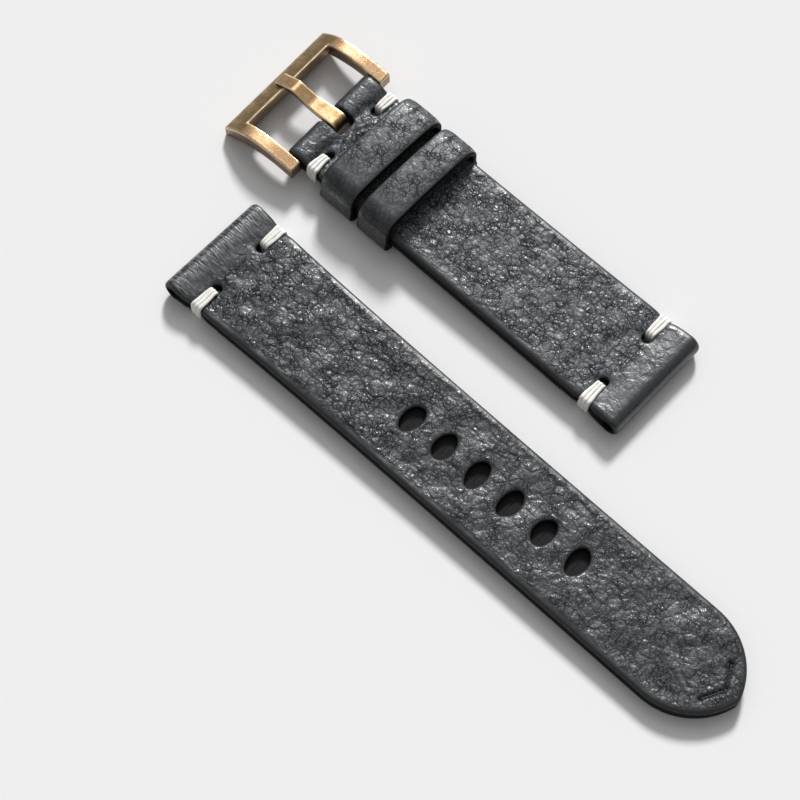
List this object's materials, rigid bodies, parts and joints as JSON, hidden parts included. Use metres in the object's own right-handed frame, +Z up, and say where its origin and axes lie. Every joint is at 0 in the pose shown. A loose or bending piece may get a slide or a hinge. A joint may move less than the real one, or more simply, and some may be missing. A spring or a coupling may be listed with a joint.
{
  "type": "leather watch strap",
  "caption": "Two-piece black leather watch strap with white side stitches, oval adjusting holes, two keepers and an arched brass pin buckle on a spring bar.",
  "frame": {"origin": "under the middle of the pair's outline, on the surface that both pieces lie on", "axes": "+X from the long piece's lug end to its tip, +Y from the long piece to the short piece, +Z up from the surface through the leather's grain side"},
  "size_m": [0.1234, 0.0521, 0.0081],
  "materials": {
    "upper_leather": "black, pebbled grain, semi-gloss",
    "lining_leather": "black, smooth, matt",
    "keeper_leather": "black, fine grain, semi-gloss",
    "white_thread": "waxed, off-white",
    "dark_thread": "waxed, black",
    "buckle_brass": "aged, brushed",
    "bar_steel": "bright",
    "spring_steel": "drawn wire"
  },
  "bodies": {
    "strap": {"short_upper": "upper_leather", "short_lining": "lining_leather", "short_lug_stitch_near": "white_thread", "short_lug_stitch_far": "white_thread", "buckle_stitch_near": "white_thread", "buckle_stitch_far": "white_thread", "fixed_keeper": "keeper_leather", "bar_tube": "bar_steel", "bar_spring": "spring_steel", "long_upper": "upper_leather", "long_lining": "lining_leather", "long_lug_stitch_near": "white_thread", "long_lug_stitch_far": "white_thread", "tip_stitch_near": "dark_thread", "tip_stitch_far": "dark_thread"},
    "floating_keeper": {"floating_keeper": "keeper_leather", "keeper_stitch_near": "dark_thread", "keeper_stitch_far": "dark_thread"},
    "buckle_frame": {"buckle_frame": "buckle_brass"},
    "buckle_tongue": {"buckle_tongue": "buckle_brass"},
    "pin_near": {"bar_pin_near": "bar_steel"},
    "pin_far": {"bar_pin_far": "bar_steel"}
  },
  "joints": [
    {"name": "frame_swing", "type": "hinge", "parent": "strap", "child": "buckle_frame", "pos_m": [-0.04815, 0.01375, 0.0029], "axis": [-0.0488, 0.9988, 0.0007], "range_deg": [-75, 35]},
    {"name": "tongue_lift", "type": "hinge", "parent": "buckle_frame", "child": "buckle_tongue", "pos_m": [-0.04815, 0.01375, 0.0029], "axis": [-0.0488, 0.9988, 0.0007], "range_deg": [0, 85]},
    {"name": "keeper_slide", "type": "slide", "parent": "strap", "child": "floating_keeper", "axis": [0.9999, 0, -0.0141], "range_m": [-0.001, 0.028]},
    {"name": "pin_near_press", "type": "slide", "parent": "strap", "child": "pin_near", "axis": [-0.0488, 0.9988, 0.0007], "range_m": [0, 0.001], "stiffness_N_per_m": 500, "springref_m": -0.0005, "deforming": ["bar_spring"]},
    {"name": "pin_far_press", "type": "slide", "parent": "strap", "child": "pin_far", "axis": [0.0488, -0.9988, -0.0007], "range_m": [0, 0.001], "stiffness_N_per_m": 500, "springref_m": -0.0005, "deforming": ["bar_spring"]}
  ]
}
